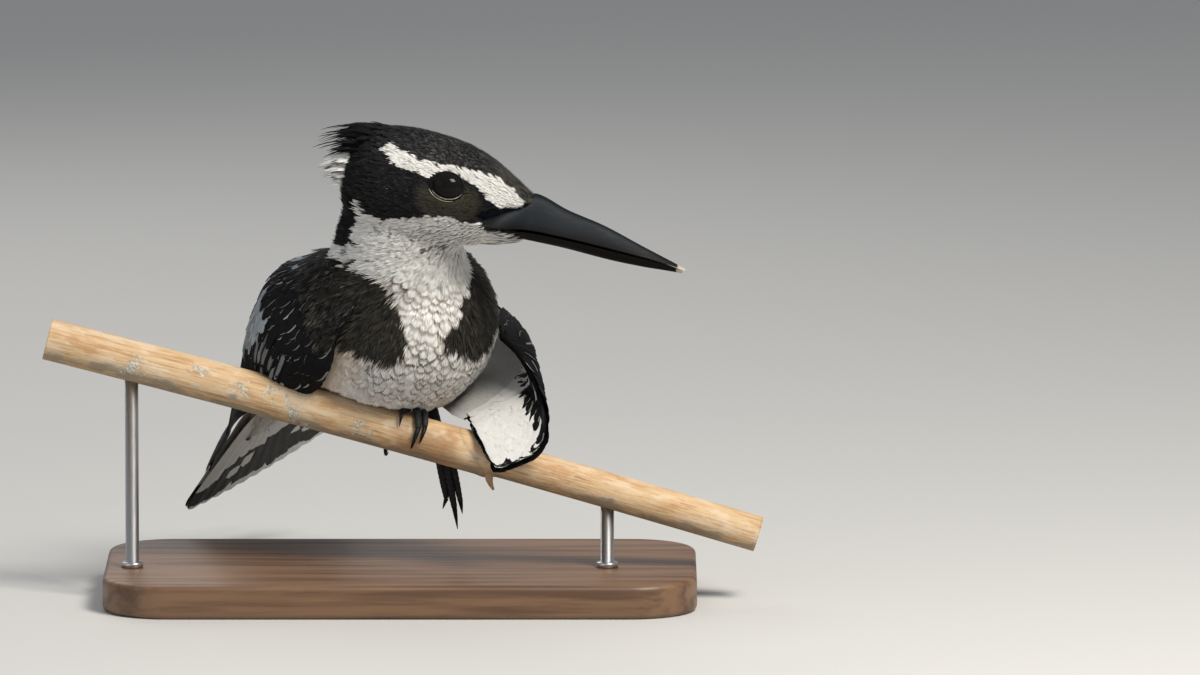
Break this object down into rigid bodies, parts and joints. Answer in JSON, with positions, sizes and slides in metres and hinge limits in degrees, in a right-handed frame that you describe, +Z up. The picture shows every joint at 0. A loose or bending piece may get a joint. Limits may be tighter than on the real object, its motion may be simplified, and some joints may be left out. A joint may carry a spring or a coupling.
{
  "type": "pied kingfisher",
  "caption": "Life-size still model of a female pied kingfisher stretching one wing and leg on a cut cane perch, on a flat base with short rods.",
  "frame": {"origin": "centre of the underside of the stand's base, straight below the grip of the bird's right foot but for 12 mm in depth", "axes": "+Z up from the floor; +X along the perch's level run, towards its lower end and the way the bill points; +Y away from the viewer, towards the tail"},
  "size_m": [0.2576, 0.177, 0.1747],
  "materials": {
    "black_feather": "soft black feathers with white edges",
    "white_feather": "soft white feathers",
    "horn": "glossy blue-black horn of bill and claws",
    "eye": "wet, nearly black eye",
    "foot_skin": "scaled black skin",
    "cane": "dry, weathered cane",
    "stand_wood": "satin dark wood",
    "steel": "brushed"
  },
  "bodies": {
    "root": {"bill_lower": "horn", "bill_upper": "horn", "claw_left_hind": "horn", "claw_left_inner": "horn", "claw_left_middle": "horn", "claw_left_outer": "horn", "claw_right_hind": "horn", "claw_right_inner": "horn", "claw_right_middle": "horn", "claw_right_outer": "horn", "crest": "black_feather", "eye_left": "eye", "eye_right": "eye", "head": "black_feather", "leg_left": "foot_skin", "leg_right": "foot_skin", "neck": "white_feather", "perch": "cane", "perch_bud": "cane", "rump": "white_feather", "stand_base": "stand_wood", "stand_rod_left": "steel", "stand_rod_right": "steel", "tail": "white_feather", "toe_left_hind": "foot_skin", "toe_left_inner": "foot_skin", "toe_left_middle": "foot_skin", "toe_left_outer": "foot_skin", "toe_right_hind": "foot_skin", "toe_right_inner": "foot_skin", "toe_right_middle": "foot_skin", "toe_right_outer": "foot_skin", "trunk": "white_feather", "wing_left_arm": "white_feather", "wing_left_primaries": "black_feather", "wing_left_secondaries": "black_feather", "wing_right_arm": "black_feather", "wing_right_flight": "black_feather"}
  },
  "joints": []
}
